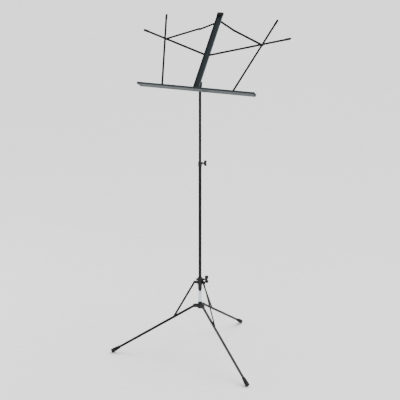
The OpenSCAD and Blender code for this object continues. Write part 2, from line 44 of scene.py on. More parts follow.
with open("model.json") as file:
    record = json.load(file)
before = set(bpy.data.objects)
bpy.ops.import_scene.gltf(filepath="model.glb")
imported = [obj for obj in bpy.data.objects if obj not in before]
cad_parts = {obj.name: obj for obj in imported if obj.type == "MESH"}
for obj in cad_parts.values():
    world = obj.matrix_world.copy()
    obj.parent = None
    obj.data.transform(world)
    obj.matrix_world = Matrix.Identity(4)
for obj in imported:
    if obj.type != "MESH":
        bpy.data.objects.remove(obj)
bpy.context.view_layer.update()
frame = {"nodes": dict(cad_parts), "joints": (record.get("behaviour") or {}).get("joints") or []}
NODES = frame["nodes"]
JOINTS = {j["name"]: j for j in frame["joints"]}
MM = 0.001

LEGS = ("rear", "left", "right")
SIDES = ("left", "right")
WING_SCREWS = {"slider_screw": "slider_screw_turn", "mid_clamp_screw": "mid_clamp_screw_turn"}
ENAMEL_NODES = (
    ["lower_tube", "upper_tube", "tilt_bracket"]
    + [f"{leg}_leg" for leg in LEGS]
    + [f"{leg}_brace" for leg in LEGS]
    + [f"{side}_{strip}" for side in SIDES for strip in ("rod", "arm", "inner_stay", "outer_stay")]
)
# spine and ledge take a lighter copy of the black enamel: painted sheen standing in for the reflection on
# gloss black paint
PAINTED_SHEEN_NODES = ["desk_spine"] + [f"{side}_ledge" for side in SIDES]
PLASTIC_NODES = (
    ["lower_hub", "leg_slider", "mid_clamp", "desk_socket", "tilt_knob", "guide_bush"]
    + [f"{side}_ledge_cap" for side in SIDES]
)
TIP_SWELL = {"arm": 1, "rod": -1}
RIVET_NODES = (
    ["leg_pivot_pins", "brace_pins", "bracket_rivets", "ledge_rivets", "arm_rivets", "stay_rivet"]
    + ["tilt_bolt"]
    + [f"{leg}_leg_rivet" for leg in LEGS]
    + [f"{side}_{place}_rivet" for side in SIDES for place in ("rod", "arm", "elbow", "stay")]
)


# rounding and clean-up of the fixed metal and plastic parts
WELD_DISTANCE = 0.002 * MM
FLAT_ANGLE = math.radians(0.6)
SHARP_ANGLE = math.radians(32)

# turned and moulded details: lengths in millimetres along the part, then shares of its radius or width
SHANK_RADIUS = 2.5 * MM
SLEEVE_WALL = 0.9 * MM
SLEEVE_RIM = 0.5 * MM
GROOVE_DEPTH = 0.12 * MM
GROOVE_SHAPE = ((-0.9, 0.0), (-0.5, 0.8), (0.0, 1.0), (0.5, 0.8), (0.9, 0.0))
BOOT_MOUTH = ((0.0, 0.90), (0.4, 0.98), (1.2, 1.04), (2.2, 1.04), (3.0, 1.0))
BOOT_MOUTH_SHARE = 0.74
RIB_SPAN = (0.16, 0.62)
FLARE_STEPS = (0.07, 0.14)
FLARE_END = 0.16
RIB_SHAPE = ((0.1, 0.0), (0.26, 1.0), (0.54, 1.0), (0.7, 0.0))
TREAD_CORNER = 1.6 * MM
TREAD_EDGE = 2.4 * MM
TREAD_RISE = 0.2 * MM
TREAD_FLAT = 0.8
PAD_MOUTH = ((0.0, 0.86, 0.75), (0.5, 0.97, 0.96), (1.0, 1.0, 1.0), (2.6, 1.0, 1.0), (3.0, 0.93, 0.9))
TIP_SKIN = 0.12 * MM
WING_FOCUS = 0.70
WING_LOBE = 1.3
WING_LAYERS = ((0.55, 0.70), (0.80, 0.80), (0.93, 1.0), (1.0, 0.62))
WING_WAIST = 0.72
LOBE_HALF = 5.0 * MM
COLLAR_RADIUS = 4.2 * MM
COLLAR_START = 2.6 * MM
COLLAR_SHAPE = ((-2.5, 0.92), (-2.1, 1.0), (0.4, 1.0), (1.4, 0.9), (3.4, 0.66), (6.0, 0.52))
CORE_END = ((-1.2, 0.4), (-0.9, 0.2))
KNURL_DEPTH = 0.45 * MM
KNURLED_HEAD = 6 * MM
HEAD_FACE = ((-0.5, 0.86), (-0.3, 0.62), (-0.7, 0.52), (-0.75, 0.1))

# studio: powers in watts, the sun's and the world's strengths as Blender counts them
FLOOR_HALF = 45
FLOOR_DROP = 0.4 * MM
WORLD_FILL = 0.6
WORLD_BACKDROP = 1.75
SKY_STRENGTH = 4.4
SKY_ANGLE = math.radians(70)
SENSOR_WIDTH = 36.0
CLIP_RANGE = (0.05, 60.0)
SKY_TURN = (math.radians(-20), math.radians(12), 0)
LAMP_SIZE = (0.8, 2.0)
LAMPS = {"key_light": ((-2.6, -0.8, 0.6), 26), "rim_light": ((2.4, 1.2, 1.4), 16)}


# ---- settings ---------------------------------------------------------------------------------------

class StandSizes(bpy.types.PropertyGroup):
    """Sizes of the details that are added to the metalwork."""

    metal_bevel: FloatProperty(name="Metal edge", description="Rounding of the cut edges of the strips",
                               default=0.3 * MM, unit="LENGTH")
    sheet_bevel: FloatProperty(name="Sheet edge", description="Rounding of the folded spine and ledge",
                               default=0.4 * MM, unit="LENGTH")
    plastic_bevel: FloatProperty(name="Plastic edge", description="Rounding of the moulded parts",
                                 default=0.7 * MM, unit="LENGTH")
    rivet_bevel: FloatProperty(name="Rivet edge", description="Rounding of the rivets' heads",
                               default=0.25 * MM, unit="LENGTH")
    boot_ribs: IntProperty(name="Foot ribs", description="Grip ribs round a rubber foot", default=5)
    rib_height: FloatProperty(name="Rib height", description="How far a rib stands out of the foot",
                              default=0.45 * MM, unit="LENGTH")
    wing_thickness: FloatProperty(name="Wing thickness", description="Thickness of a thumb screw's wing",
                                  default=2.6 * MM, unit="LENGTH")
    sleeve_grooves: IntProperty(name="Sleeve grooves", default=3,
                                description="Shallow grooves round the bright sleeve")
    knurls: IntProperty(name="Knurls", description="Ridges round the desk socket's thumb screw", default=26)
    tip_swell: FloatProperty(name="Tip swell", description="How far a soft tip stands proud of its strip",
                             default=0.9 * MM, unit="LENGTH")
    cap_corner: FloatProperty(name="Cap corner", description="Corner radius of the cap on top of the spine",
                              default=2.2 * MM, unit="LENGTH")
    camera_distance: FloatProperty(name="Camera distance", description="From the camera to the mast",
                                   default=3.81, unit="LENGTH")
    camera_azimuth: FloatProperty(name="Camera azimuth", default=math.radians(30.0), unit="ROTATION",
                                  description="Round the stand from the player's side")
    camera_height: FloatProperty(name="Camera elevation", description="Above the horizon",
                                 default=math.radians(15.6), unit="ROTATION")
    camera_aim: FloatProperty(name="Aim height", description="Height on the mast that the camera looks at",
                              default=0.645, unit="LENGTH")
    camera_lens: FloatProperty(name="Lens", description="Focal length in millimetres", default=88.0)


class StandColours(bpy.types.PropertyGroup):
    """Base colours of the finishes."""

    enamel: FloatVectorProperty(name="Black enamel", description="Tubes, legs and strips", subtype="COLOR",
                                size=3, default=(0.0045, 0.0045, 0.005))
    # painted sheen: a lighter slate copy of the black enamel, its colour taken from the reflection that
    # gloss black paint shows on the spine and ledge
    graphite: FloatVectorProperty(name="Enamel with painted sheen", description="Spine and ledge", subtype="COLOR",
                                  size=3, default=(0.020, 0.029, 0.033))
    plastic: FloatVectorProperty(name="Black plastic", description="Hubs, clamps, caps and screws",
                                 subtype="COLOR", size=3, default=(0.006, 0.006, 0.0065))
    rubber: FloatVectorProperty(name="Rubber", description="Feet and soft tips", subtype="COLOR",
                                size=3, default=(0.006, 0.006, 0.006))
    steel: FloatVectorProperty(name="Blackened steel", description="Rivets and pins", subtype="COLOR",
                               size=3, default=(0.05, 0.05, 0.053))
    bright: FloatVectorProperty(name="Bright plate", description="Sleeve on the mast", subtype="COLOR",
                                size=3, default=(0.60, 0.67, 0.72))
    bare: FloatVectorProperty(name="Bare metal", description="Metal that shows where the enamel has worn",
                              subtype="COLOR", size=3, default=(0.16, 0.16, 0.165))
    dust: FloatVectorProperty(name="Dust", description="Dust that settles on upward faces", subtype="COLOR",
                              size=3, default=(0.22, 0.21, 0.20))
    floor: FloatVectorProperty(name="Floor", description="Studio floor", subtype="COLOR",
                               size=3, default=(0.90, 0.90, 0.90))


# ---- shader node groups -----------------------------------------------------------------------------

def new_group(name, inputs, outputs):
    """An empty shader node group with float inputs {name: default} and typed outputs {name: type}."""
    group = bpy.data.node_groups.new(name, "ShaderNodeTree")
    for label, value in inputs.items():
        socket = group.interface.new_socket(name=label, in_out="INPUT", socket_type="NodeSocketFloat")
        socket.default_value = value
    for label, kind in outputs.items():
        group.interface.new_socket(name=label, in_out="OUTPUT", socket_type=kind)
    return group, group.nodes.new("NodeGroupInput"), group.nodes.new("NodeGroupOutput")


def maths(tree, operation, a, b=None, clamp=False):
    """A Math node whose operands are sockets or numbers; gives its output."""
    node = tree.nodes.new("ShaderNodeMath")
    node.operation = operation
    node.use_clamp = clamp
    for socket, value in zip(node.inputs, (a, b)):
        if value is None:
            continue
        if isinstance(value, (int, float)):
            socket.default_value = value
        else:
            tree.links.new(value, socket)
    return node.outputs[0]


def noise(tree, vector, scale, detail=3.0, roughness=0.55):
    """A noise texture on the given coordinates; gives its factor."""
    node = tree.nodes.new("ShaderNodeTexNoise")
    node.inputs["Detail"].default_value = detail
    node.inputs["Roughness"].default_value = roughness
    tree.links.new(vector, node.inputs["Vector"])
    if isinstance(scale, (int, float)):
        node.inputs["Scale"].default_value = scale
    else:
        tree.links.new(scale, node.inputs["Scale"])
    return node.outputs["Fac"]


def stepped(tree, value, low, high):
    """Maps low..high to 0..1 with soft ends."""
    node = tree.nodes.new("ShaderNodeMapRange")
    node.interpolation_type = "SMOOTHSTEP"
    tree.links.new(value, node.inputs["Value"])
    node.inputs["From Min"].default_value = low
    node.inputs["From Max"].default_value = high
    return node.outputs["Result"]


def object_coords(tree):
    """The object's own coordinates."""
    return tree.nodes.new("ShaderNodeTexCoord").outputs["Object"]


def grain_group():
    """Fine surface grain: a height for bump and a slow mottle for colour and roughness."""
    group, given, out = new_group(
        "Stand Grain",
        {"Grain Scale": 1600.0, "Mottle Scale": 45.0, "Depth": 1.0},
        {"Height": "NodeSocketFloat", "Mottle": "NodeSocketFloat"},
    )
    coords = object_coords(group)
    fine = noise(group, coords, given.outputs["Grain Scale"], detail=2.0)
    slow = noise(group, coords, given.outputs["Mottle Scale"], detail=4.0, roughness=0.6)
    group.links.new(maths(group, "MULTIPLY", fine, given.outputs["Depth"]), out.inputs["Height"])
    group.links.new(slow, out.inputs["Mottle"])
    return group


def edge_wear_group():
    """Mask of worn spots along the sharp edges."""
    group, given, out = new_group(
        "Stand Edge Wear",
        {"Radius": 0.5 * MM, "Amount": 0.5, "Patch Scale": 160.0},
        {"Mask": "NodeSocketFloat"},
    )
    bevel = group.nodes.new("ShaderNodeBevel")
    bevel.samples = 6
    group.links.new(given.outputs["Radius"], bevel.inputs["Radius"])
    geometry = group.nodes.new("ShaderNodeNewGeometry")
    dot = group.nodes.new("ShaderNodeVectorMath")
    dot.operation = "DOT_PRODUCT"
    group.links.new(bevel.outputs["Normal"], dot.inputs[0])
    group.links.new(geometry.outputs["Normal"], dot.inputs[1])
    edge = stepped(group, maths(group, "SUBTRACT", 1.0, dot.outputs["Value"]), low=0.004, high=0.09)
    cloud = noise(group, object_coords(group), given.outputs["Patch Scale"], detail=5.0, roughness=0.65)
    worn = maths(group, "MULTIPLY", edge, stepped(group, cloud, low=0.48, high=0.66))
    masked = maths(group, "MULTIPLY", worn, given.outputs["Amount"], clamp=True)
    group.links.new(masked, out.inputs["Mask"])
    return group


def dust_group():
    """Mask of thin dust on faces that look up."""
    group, given, out = new_group(
        "Stand Dust",
        {"Amount": 0.2, "Patch Scale": 30.0},
        {"Mask": "NodeSocketFloat"},
    )
    geometry = group.nodes.new("ShaderNodeNewGeometry")
    parts = group.nodes.new("ShaderNodeSeparateXYZ")
    group.links.new(geometry.outputs["Normal"], parts.inputs[0])
    upward = stepped(group, parts.outputs["Z"], low=0.35, high=1.0)
    cloud = noise(group, object_coords(group), given.outputs["Patch Scale"], detail=8.0, roughness=0.7)
    dusty = maths(group, "MULTIPLY", upward, stepped(group, cloud, low=0.35, high=0.75))
    masked = maths(group, "MULTIPLY", dusty, given.outputs["Amount"], clamp=True)
    group.links.new(masked, out.inputs["Mask"])
    return group


def drawn_lines_group():
    """Fine lines round a turned or drawn part, as a value about one half."""
    group, given, out = new_group(
        "Stand Drawn Lines",
        {"Line Scale": 900.0, "Length Scale": 8.0},
        {"Lines": "NodeSocketFloat"},
    )
    split = group.nodes.new("ShaderNodeSeparateXYZ")
    group.links.new(object_coords(group), split.inputs[0])
    joined = group.nodes.new("ShaderNodeCombineXYZ")
    for axis, scale in (("X", "Length Scale"), ("Y", "Length Scale"), ("Z", "Line Scale")):
        stretched = maths(group, "MULTIPLY", split.outputs[axis], given.outputs[scale])
        group.links.new(stretched, joined.inputs[axis])
    group.links.new(noise(group, joined.outputs[0], scale=1.0, detail=2.0), out.inputs["Lines"])
    return group


GROUP_MAKERS = {
    "grain": grain_group,
    "wear": edge_wear_group,
    "dust": dust_group,
    "lines": drawn_lines_group,
}
made_groups = {}


def use_group(tree, key, **values):
    """Places a shared group in a material with its own values; gives its outputs."""
    if key not in made_groups:
        made_groups[key] = GROUP_MAKERS[key]()
    node = tree.nodes.new("ShaderNodeGroup")
    node.node_tree = made_groups[key]
    for label, value in values.items():
        node.inputs[label.replace("_", " ")].default_value = value
    return node.outputs


# ---- materials --------------------------------------------------------------------------------------

def mix_colour(tree, factor, a, b):
    """A mix of two colours, each a socket or three numbers."""
    node = tree.nodes.new("ShaderNodeMix")
    node.data_type = "RGBA"
    tree.links.new(factor, node.inputs["Factor"])
    for socket, value in ((node.inputs["A"], a), (node.inputs["B"], b)):
        if isinstance(value, bpy.types.NodeSocket):
            tree.links.new(value, socket)
        else:
            socket.default_value = (*value, 1.0)
    return node.outputs["Result"]


def spread(tree, factor, low, high):
    """A value that runs from low to high with the factor."""
    return maths(tree, "ADD", maths(tree, "MULTIPLY", factor, high - low), low)


def lighter(colour, times):
    """The colour multiplied, no brighter than white."""
    return tuple(min(1.0, c * times) for c in colour)


def new_material(name):
    """An empty material; gives it, its node tree and its main shader."""
    material = bpy.data.materials.new(name)
    material.use_nodes = True
    return material, material.node_tree, material.node_tree.nodes["Principled BSDF"]


def bump(tree, shader, height, strength, distance):
    """Feeds a height to the shader's normal."""
    node = tree.nodes.new("ShaderNodeBump")
    node.inputs["Strength"].default_value = strength
    node.inputs["Distance"].default_value = distance
    tree.links.new(height, node.inputs["Height"])
    tree.links.new(node.outputs["Normal"], shader.inputs["Normal"])


def enamel_material(name, colour, colours, gloss):
    """Stoved enamel on steel: faint orange peel, slow mottle, worn edges and a little dust."""
    material, tree, shader = new_material(name)
    grain = use_group(tree, "grain", Grain_Scale=700.0, Mottle_Scale=38.0)
    wear = use_group(tree, "wear", Amount=0.3)["Mask"]
    dust = use_group(tree, "dust", Amount=0.035)["Mask"]
    body = mix_colour(tree, grain["Mottle"], lighter(colour, 0.8), lighter(colour, 1.25))
    worn = mix_colour(tree, wear, body, colours.bare)
    tree.links.new(mix_colour(tree, dust, worn, colours.dust), shader.inputs["Base Color"])
    sheen = spread(tree, grain["Mottle"], low=0.3, high=0.46)
    rough = maths(tree, "ADD", sheen, maths(tree, "MULTIPLY", dust, 0.5), clamp=True)
    tree.links.new(rough, shader.inputs["Roughness"])
    tree.links.new(maths(tree, "MULTIPLY", wear, 0.9), shader.inputs["Metallic"])
    shader.inputs["Specular IOR Level"].default_value = gloss
    bump(tree, shader, grain["Height"], strength=0.12, distance=0.05 * MM)
    return material


def plastic_material(colours):
    """Moulded nylon: spark-eroded grain, low gloss."""
    material, tree, shader = new_material("Moulded Black Plastic")
    grain = use_group(tree, "grain", Grain_Scale=2600.0, Mottle_Scale=60.0)
    wear = use_group(tree, "wear", Amount=0.35, Radius=0.7 * MM)["Mask"]
    dust = use_group(tree, "dust", Amount=0.05)["Mask"]
    body = mix_colour(tree, grain["Mottle"], lighter(colours.plastic, 0.8), lighter(colours.plastic, 1.4))
    rubbed = mix_colour(tree, wear, body, lighter(colours.plastic, 4.0))
    tree.links.new(mix_colour(tree, dust, rubbed, colours.dust), shader.inputs["Base Color"])
    tree.links.new(spread(tree, grain["Mottle"], low=0.42, high=0.6), shader.inputs["Roughness"])
    shader.inputs["Specular IOR Level"].default_value = 0.3
    bump(tree, shader, grain["Height"], strength=0.3, distance=0.06 * MM)
    return material


def rubber_material(colours):
    """Black rubber: matt, lightly chalked, scuffed where it meets the floor."""
    material, tree, shader = new_material("Black Rubber")
    grain = use_group(tree, "grain", Grain_Scale=1500.0, Mottle_Scale=90.0)
    wear = use_group(tree, "wear", Amount=0.8, Radius=1.0 * MM, Patch_Scale=300.0)["Mask"]
    dust = use_group(tree, "dust", Amount=0.1, Patch_Scale=80.0)["Mask"]
    body = mix_colour(tree, grain["Mottle"], lighter(colours.rubber, 0.8), lighter(colours.rubber, 1.7))
    scuffed = mix_colour(tree, wear, body, lighter(colours.rubber, 6.0))
    tree.links.new(mix_colour(tree, dust, scuffed, colours.dust), shader.inputs["Base Color"])
    tree.links.new(spread(tree, grain["Mottle"], low=0.66, high=0.86), shader.inputs["Roughness"])
    shader.inputs["Specular IOR Level"].default_value = 0.25
    bump(tree, shader, grain["Height"], strength=0.4, distance=0.12 * MM)
    return material


def steel_material(colours):
    """Blackened steel with fine grain, rubbed bright on its edges."""
    material, tree, shader = new_material("Blackened Steel")
    grain = use_group(tree, "grain", Grain_Scale=1800.0, Mottle_Scale=220.0)
    wear = use_group(tree, "wear", Amount=0.7, Radius=0.4 * MM, Patch_Scale=400.0)["Mask"]
    body = mix_colour(tree, grain["Mottle"], lighter(colours.steel, 0.7), lighter(colours.steel, 1.3))
    tree.links.new(mix_colour(tree, wear, body, lighter(colours.steel, 3.0)), shader.inputs["Base Color"])
    tree.links.new(spread(tree, grain["Mottle"], low=0.3, high=0.5), shader.inputs["Roughness"])
    shader.inputs["Metallic"].default_value = 0.9
    bump(tree, shader, grain["Height"], strength=0.15, distance=0.04 * MM)
    return material


def bright_material(colours):
    """Bright plated sleeve: drawn lines, faint smudges."""
    material, tree, shader = new_material("Bright Plate")
    grain = use_group(tree, "grain", Grain_Scale=900.0, Mottle_Scale=70.0)
    lines = use_group(tree, "lines")["Lines"]
    dust = use_group(tree, "dust", Amount=0.15)["Mask"]
    body = mix_colour(tree, grain["Mottle"], lighter(colours.bright, 0.9), lighter(colours.bright, 1.08))
    tree.links.new(mix_colour(tree, dust, body, colours.dust), shader.inputs["Base Color"])
    sheen = spread(tree, grain["Mottle"], low=0.24, high=0.34)
    rough = maths(tree, "ADD", sheen, maths(tree, "MULTIPLY", lines, 0.06))
    tree.links.new(rough, shader.inputs["Roughness"])
    shader.inputs["Metallic"].default_value = 1.0
    bump(tree, shader, lines, strength=0.08, distance=0.02 * MM)
    return material


def floor_material(colours):
    """Pale seamless floor with barely visible unevenness."""
    material, tree, shader = new_material("Studio Floor")
    slow = noise(tree, object_coords(tree), scale=1.2, detail=2.0)
    body = mix_colour(tree, slow, lighter(colours.floor, 0.985), lighter(colours.floor, 1.015))
    tree.links.new(body, shader.inputs["Base Color"])
    shader.inputs["Roughness"].default_value = 0.7
    shader.inputs["Specular IOR Level"].default_value = 0.2
    return material


MATERIAL_MAKERS = {
    "enamel": lambda colours: enamel_material("Black Enamel", colours.enamel, colours, gloss=0.16),
    # spine and ledge enamel: a lighter base colour painted in for the reflection on gloss black paint, with
    # more specular gloss
    "graphite": lambda colours: enamel_material("Enamel With Painted Sheen", colours.graphite, colours, gloss=0.24),
    "plastic": plastic_material,
    "rubber": rubber_material,
    "steel": steel_material,
    "bright": bright_material,
    "floor": floor_material,
}
made_materials = {}


def material_for(kind):
    """The finish of that kind, made once."""
    if kind not in made_materials:
        made_materials[kind] = MATERIAL_MAKERS[kind](bpy.context.scene.stand_colours)
    return made_materials[kind]


# ---- mesh helpers -----------------------------------------------------------------------------------

def smooth_faces(mesh):
    """Shades every face smooth."""
    for polygon in mesh.polygons:
        polygon.use_smooth = True


def dress_node(name, kind, bevel):
    """Gives a fixed metal or plastic part its finish and rounds its edges."""
    part = NODES[name]
    part.data.materials.clear()
    part.data.materials.append(material_for(kind))
    smooth_faces(part.data)
    weld = part.modifiers.new("Weld", "WELD")
    weld.merge_threshold = WELD_DISTANCE
    flat = part.modifiers.new("Merge Flat Faces", "DECIMATE")
    flat.decimate_type = "DISSOLVE"
    flat.angle_limit = FLAT_ANGLE
    rounding = part.modifiers.new("Rounded Edges", "BEVEL")
    rounding.width = bevel
    rounding.segments = 2
    rounding.limit_method = "ANGLE"
    rounding.angle_limit = SHARP_ANGLE
    rounding.miter_outer = "MITER_ARC"
    rounding.use_clamp_overlap = True
    weighted = part.modifiers.new("Even Shading", "WEIGHTED_NORMAL")
    weighted.keep_sharp = False
    weighted.weight = 60


def new_piece(name, mesh_maker, material, place=None):
    """An object from a bmesh that mesh_maker fills, moved by place into the stand's frame."""
    shape = bmesh.new()
    mesh_maker(shape)
    if place:
        shape.transform(place)
    bmesh.ops.recalc_face_normals(shape, faces=shape.faces)
    mesh = bpy.data.meshes.new(name)
    shape.to_mesh(mesh)
    shape.free()
    smooth_faces(mesh)
    mesh.materials.append(material)
    piece = bpy.data.objects.new(name, mesh)
    bpy.context.scene.collection.objects.link(piece)
    return piece


def skin(shape, rings, ends):
    """Joins rings of equal length in turn. The ends are "flat", "open", or joined to each other: "ring"."""
    count = len(rings[0])
    for first, second in zip(rings, rings[1:] + (rings[:1] if ends == "ring" else [])):
        for i in range(count):
            j = (i + 1) % count
            shape.faces.new((first[i], first[j], second[j], second[i]))
    if ends == "flat":
        shape.faces.new(rings[0])
        shape.faces.new(list(reversed(rings[-1])))


def lathe(shape, profile, steps=56, ends="flat"):
    """Turns (distance, radius) points round the x axis."""
    turns = [math.tau * i / steps for i in range(steps)]
    rings = [[shape.verts.new((along, radius * math.cos(turn), radius * math.sin(turn))) for turn in turns]
             for along, radius in profile]
    skin(shape, rings, ends)


def axis_frame(origin, along, across):
    """A matrix whose x runs along and whose y runs across, at the origin."""
    x = along.normalized()
    y = (across - across.dot(x) * x).normalized()
    z = x.cross(y)
    turned = Matrix((x, y, z)).transposed().to_4x4()
    return Matrix.Translation(origin) @ turned


def reach(name, origin, along):
    """Least and greatest distance of a CAD node's points from the origin along a direction."""
    distances = [(v.co - origin).dot(along) for v in NODES[name].data.vertices]
    return min(distances), max(distances)


def girth(name, origin, along):
    """Greatest distance of a CAD node's points from a line."""
    offsets = [v.co - origin for v in NODES[name].data.vertices]
    return max((offset - offset.dot(along) * along).length for offset in offsets)


def centroid(name):
    """Middle of a CAD node's box."""
    low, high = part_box(name)
    return (low + high) / 2


def desk_axes():
    """Origin between the ledge pivots; directions along the ledge, up the spine and out of the face."""
    left, right = (JOINTS[f"{side}_ledge_fold"] for side in SIDES)
    facing = Vector(right["axis"])
    along_ledge = Vector((1, 0, 0))
    middle = (Vector(left["pos_m"]) + Vector(right["pos_m"])) / 2
    return middle, along_ledge, facing.cross(along_ledge), facing


def rounded_rectangle(half_y, half_z, corner, steps=6):
    """Points of a rounded rectangle in the y-z plane about the origin, all the way round."""
    fullest = 0.98 * min(half_y, half_z)
    corner = min(corner, fullest)
    points = []
    for quarter, (sy, sz) in enumerate(((1, 1), (-1, 1), (-1, -1), (1, -1))):
        for i in range(steps + 1):
            turn = math.radians(90 * (quarter + i / steps))
            points.append((sy * (half_y - corner) + corner * math.cos(turn),
                           sz * (half_z - corner) + corner * math.sin(turn)))
    return points


def loft(shape, rings):
    """Skins rings of points and closes both ends."""
    skin(shape, [[shape.verts.new(point) for point in ring] for ring in rings], "flat")


def block_shape(shape, along, across, deep, corner):
    """A moulded block along x: rounded section, softened foot and a crowned head."""
    foot, crown, crown_inset, crown_steps = 0.35 * MM, 2.6 * MM, 1.3 * MM, 6
    (start, end), (left, right), (back, front) = along, across, deep
    middle_y, middle_z = -(left + right) / 2, (back + front) / 2
    half_y, half_z = (right - left) / 2, (front - back) / 2
    stations = [(start, foot), (start + foot, 0.0)]
    for i in range(crown_steps + 1):
        turn = math.radians(90 * i / crown_steps)
        stations.append((end - crown + crown * math.sin(turn), crown_inset * (1 - math.cos(turn))))
    loft(shape, [[(at, middle_y + y, middle_z + z)
                  for y, z in rounded_rectangle(half_y - inset, half_z - inset, corner)]
                 for at, inset in stations])


def pad_shape(shape, start, end, half_width, low, high):
    """A soft sleeve along x: rounded section, a rolled mouth and a round nose."""
    middle, half = (low + high) / 2, (high - low) / 2
    stations = [(start + at * MM, wide, thick) for at, wide, thick in PAD_MOUTH]
    _, body_wide, body_thick = PAD_MOUTH[-1]
    nose, nose_turn, steps = half_width * 0.95, 86, 8
    least_wide, least_thick = 0.12, 0.35
    for i in range(steps + 1):
        turn = math.radians(nose_turn * i / steps)
        stations.append((end - nose + nose * math.sin(turn),
                         body_wide * max(least_wide, math.cos(turn)),
                         body_thick * max(least_thick, math.cos(turn) ** 0.5)))
    corner = half * 0.8
    loft(shape, [[(at, y, middle + z)
                  for y, z in rounded_rectangle(half_width * wide, half * thick, corner)]
                 for at, wide, thick in stations])


# ---- pieces -----------------------------------------------------------------------------------------

def leg_line(leg):
    """Pivot, direction towards the foot and axis of one leg, from its folding joint."""
    joint = JOINTS[f"{leg}_leg_fold"]
    pivot, tangent = Vector(joint["pos_m"]), Vector(joint["axis"])
    outward = Vector((-tangent.y, tangent.x, 0))
    slope = math.radians(joint["range_deg"][1] - 90)
    return pivot, outward * math.cos(slope) - Vector((0, 0, 1)) * math.sin(slope), tangent


def boot_profile(start, end, mouth, wide, ribs, rib_height):
    """A rolled mouth, grip ribs, a flare and a rounded tread."""
    length = end - start
    points = [(start + at * MM, mouth * share) for at, share in BOOT_MOUTH]
    rib_from, rib_to = (start + share * length for share in RIB_SPAN)
    pitch = (rib_to - rib_from) / ribs
    flare_to = end - FLARE_END * length

    def body(at):
        share = min(1.0, max(0.0, (at - start) / (flare_to - start)))
        return mouth + (wide - mouth) * share * share * (3 - 2 * share)

    for i in range(ribs):
        for share, lift in RIB_SHAPE:
            at = rib_from + (i + share) * pitch
            points.append((at, body(at) + lift * rib_height))
    flare = [rib_to + share * length for share in FLARE_STEPS] + [flare_to]
    points += [(at, body(at)) for at in flare]
    points.append((end - TREAD_EDGE, wide))
    corner, steps = TREAD_CORNER, 5
    for i in range(1, steps + 1):
        turn = math.radians(90 * i / steps)
        at = end - corner + corner * math.sin(turn) - TREAD_RISE
        points.append((at, wide - corner + corner * math.cos(turn)))
    points.append((end, (wide - corner) * TREAD_FLAT))
    return points


class STAND_OT_tubes_and_strips(bpy.types.Operator):
    """Enamel the mast, the legs, the braces and the desk's strips"""

    bl_idname = "stand.tubes_and_strips"
    bl_label = "Tubes and Strips"

    def execute(self, context):
        sizes = context.scene.stand_sizes
        for name in ENAMEL_NODES:
            dress_node(name, "enamel", sizes.metal_bevel)
        return {"FINISHED"}


class STAND_OT_spine_and_ledge(bpy.types.Operator):
    """Enamel the folded sheet of the spine and of the two halves of the ledge, in a lighter slate enamel
    whose colour is painted sheen
    """

    bl_idname = "stand.spine_and_ledge"
    bl_label = "Spine and Ledge"

    def execute(self, context):
        sizes = context.scene.stand_sizes
        for name in PAINTED_SHEEN_NODES:
            # painted sheen: these faces take the lighter enamel that stands in for the reflection
            dress_node(name, "graphite", sizes.sheet_bevel)
        return {"FINISHED"}


class STAND_OT_moulded_parts(bpy.types.Operator):
    """Finish the hubs, clamps, caps and the knob in black plastic"""

    bl_idname = "stand.moulded_parts"
    bl_label = "Moulded Parts"

    def execute(self, context):
        sizes = context.scene.stand_sizes
        for name in PLASTIC_NODES:
            dress_node(name, "plastic", sizes.plastic_bevel)
        return {"FINISHED"}


class STAND_OT_rivets(bpy.types.Operator):
    """Finish the rivets, the pins and the tilt bolt in blackened steel"""

    bl_idname = "stand.rivets"
    bl_label = "Rivets and Pins"

    def execute(self, context):
        sizes = context.scene.stand_sizes
        for name in RIVET_NODES:
            dress_node(name, "steel", sizes.rivet_bevel)
        return {"FINISHED"}


class STAND_OT_bright_sleeve(bpy.types.Operator):
    """Plate the sleeve between the two hubs"""

    bl_idname = "stand.bright_sleeve"
    bl_label = "Bright Sleeve"

    def execute(self, context):
        sizes = context.scene.stand_sizes
        node = "bright_sleeve"
        foot = JOINTS["desk_swivel"]["pos_m"]
        centre, upward = Vector((foot[0], foot[1], 0)), Vector((0, 0, 1))
        low, high = reach(node, centre, upward)
        outer = girth(node, centre, upward)
        inner, rim = outer - SLEEVE_WALL, SLEEVE_RIM
        rounding = ((0.0, rim), (0.3 * rim, 0.3 * rim), (rim, 0.0))
        profile = [(low, inner)] + [(low + at, outer - cut) for at, cut in rounding]
        for i in range(sizes.sleeve_grooves):
            middle = low + (i + 0.5) * (high - low) / sizes.sleeve_grooves
            profile += [(middle + offset * MM, outer - cut * GROOVE_DEPTH) for offset, cut in GROOVE_SHAPE]
        profile += [(high - at, outer - cut) for at, cut in reversed(rounding)] + [(high, inner)]

        def make(shape):
            lathe(shape, profile, steps=96, ends="ring")

        sleeve = new_piece("plated_sleeve", make, material_for("bright"),
                           axis_frame(centre, upward, Vector((1, 0, 0))))
        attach(sleeve, "mast")
        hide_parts(node)
        return {"FINISHED"}


class STAND_OT_soft_tips(bpy.types.Operator):
    """Finish the soft tips of the arms and side rods in rubber"""

    bl_idname = "stand.soft_tips"
    bl_label = "Soft Tips"

    def execute(self, context):
        sizes = context.scene.stand_sizes
        facing = desk_axes()[-1]
        for side in SIDES:
            for strip, swell_side in TIP_SWELL.items():
                node = f"{side}_{strip}_tip"
                pivot = Vector(JOINTS[f"{side}_{strip}_fold"]["pos_m"])
                middle = centroid(node) - pivot
                along = (middle - middle.dot(facing) * facing).normalized()
                across = facing.cross(along)
                start, end = reach(node, pivot, along)
                side_low, side_high = reach(node, pivot, across)
                back, front = reach(node, pivot, facing)
                half_width = (side_high - side_low) / 2
                low = back - (sizes.tip_swell if swell_side < 0 else TIP_SKIN)
                high = front + (sizes.tip_swell if swell_side > 0 else TIP_SKIN)
                place = axis_frame(pivot, along, across)

                def make(shape):
                    pad_shape(shape, start, end, half_width, low, high)

                tip = new_piece(f"soft_{node}", make, material_for("rubber"), place)
                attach(tip, f"{side}_{strip}")
                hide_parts(node)
        return {"FINISHED"}


